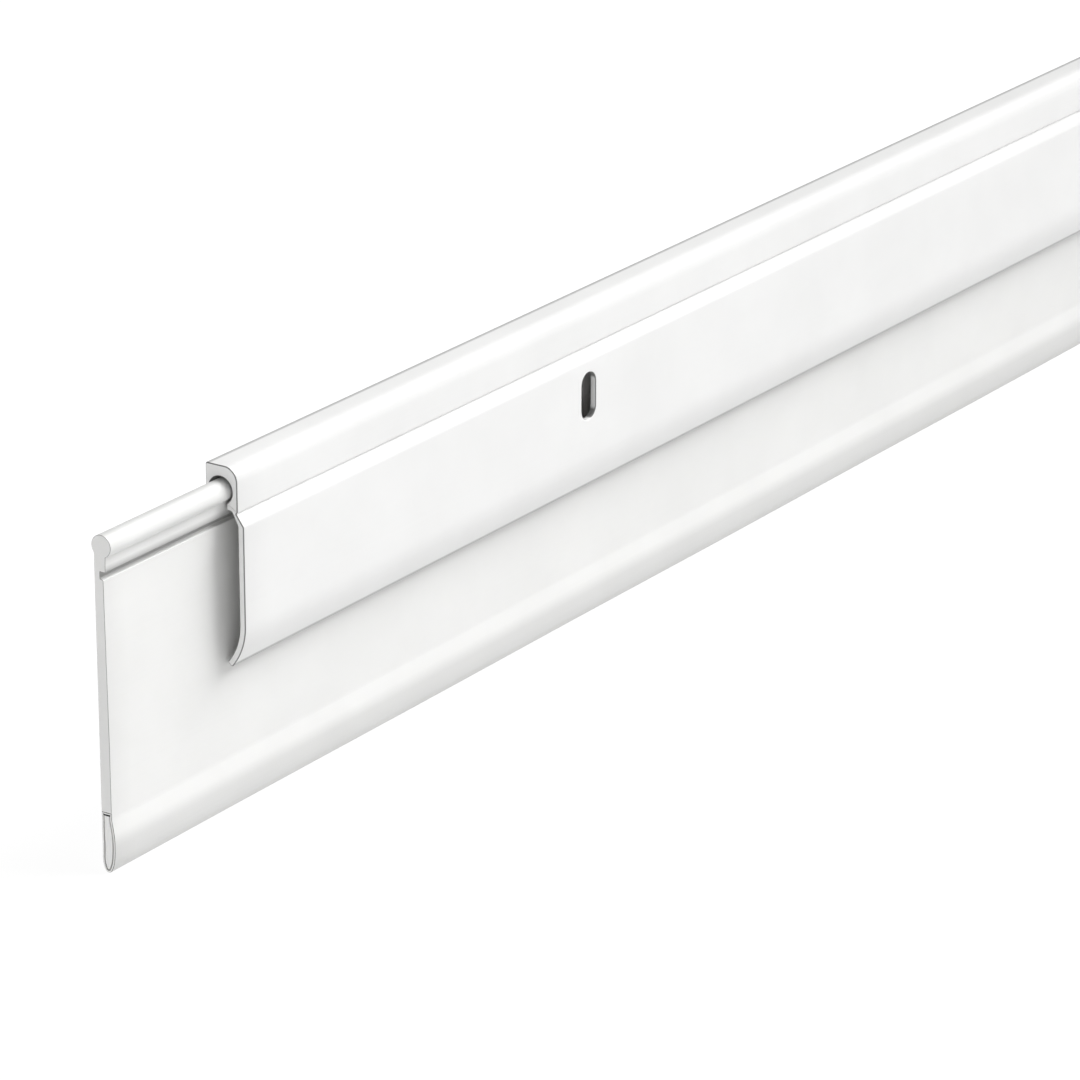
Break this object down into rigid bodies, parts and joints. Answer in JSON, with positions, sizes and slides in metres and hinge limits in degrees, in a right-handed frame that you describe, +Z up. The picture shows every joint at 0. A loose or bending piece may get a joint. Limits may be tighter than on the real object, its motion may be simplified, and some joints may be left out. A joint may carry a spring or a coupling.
{
  "type": "door sweep",
  "caption": "White door sweep: a rigid rail with a bead channel and slotted cover plate, and a sliding vinyl insert with a soft wiper lip.",
  "frame": {"origin": "centre of the flat back face that rests on the door, half way along the rail and half way up its back leg", "axes": "+X along the sweep, towards the end where the insert is inside the rail; +Y into the door; +Z up"},
  "size_m": [0.9484, 0.0082, 0.066],
  "materials": {
    "rigid_pvc": "satin, extruded",
    "vinyl": "matt, extruded",
    "soft_vinyl": "matt, soft"
  },
  "bodies": {
    "rail": {"carrier_rail": "rigid_pvc"},
    "insert": {"insert_bead": "vinyl", "upper_web": "vinyl"},
    "fin": {"lower_fin": "vinyl"},
    "lip": {"wiper_lip": "soft_vinyl"}
  },
  "joints": [
    {"name": "insert_slide", "type": "slide", "parent": "rail", "child": "insert", "axis": [1, 0, 0], "range_m": [-0.85, 0.034]},
    {"name": "fin_flex", "type": "hinge", "parent": "insert", "child": "fin", "pos_m": [0, -0.00275, -0.0348], "axis": [1, 0, 0], "range_deg": [-25, 25], "stiffness_Nm_per_rad": 0.3},
    {"name": "lip_flex", "type": "hinge", "parent": "fin", "child": "lip", "pos_m": [0, -0.00275, -0.0498], "axis": [1, 0, 0], "range_deg": [-45, 45], "stiffness_Nm_per_rad": 0.06}
  ]
}
